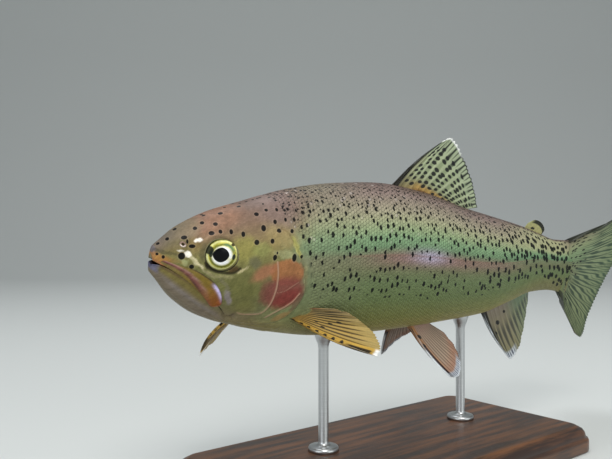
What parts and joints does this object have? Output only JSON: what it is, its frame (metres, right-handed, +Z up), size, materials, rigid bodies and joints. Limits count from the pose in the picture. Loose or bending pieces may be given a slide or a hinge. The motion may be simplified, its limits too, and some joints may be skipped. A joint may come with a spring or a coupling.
{
  "type": "rainbow trout model",
  "caption": "Still, life-size model of a swimming rainbow trout with its fins spread, banked a little and held over a plain flat base by short rods.",
  "frame": {"origin": "middle of the underside of the display stand's base", "axes": "+X from the fish's snout towards its tail, +Z up, the fish's left flank towards -Y"},
  "size_m": [0.3875, 0.1285, 0.2016],
  "materials": {
    "skin": "wet-looking scaled skin: brown-mauve back, olive flanks with a pale rose band, rose gill covers, small black spots",
    "fins": "thin rayed fins in yellow-olive and orange-brown with black spots and white tips",
    "eyes": "clear wet gloss over a yellow-green iris, a silver ring and a black pupil",
    "wood": "dark oiled wood with a satin finish and softened edges",
    "steel": "brushed along the rods"
  },
  "bodies": {
    "root": {"head": "skin", "lower_jaw": "skin", "maxilla_left": "skin", "maxilla_right": "skin", "gill_cover_left": "skin", "gill_cover_right": "skin", "trunk": "skin", "tail_stalk": "skin", "dorsal_fin": "fins", "adipose_fin": "fins", "anal_fin": "fins", "caudal_fin": "fins", "pectoral_fin_left": "fins", "pectoral_fin_right": "fins", "pelvic_fin_left": "fins", "pelvic_fin_right": "fins", "eye_left": "eyes", "eye_right": "eyes", "stand_base": "wood", "stand_rod_front": "steel", "stand_rod_rear": "steel"}
  },
  "joints": []
}
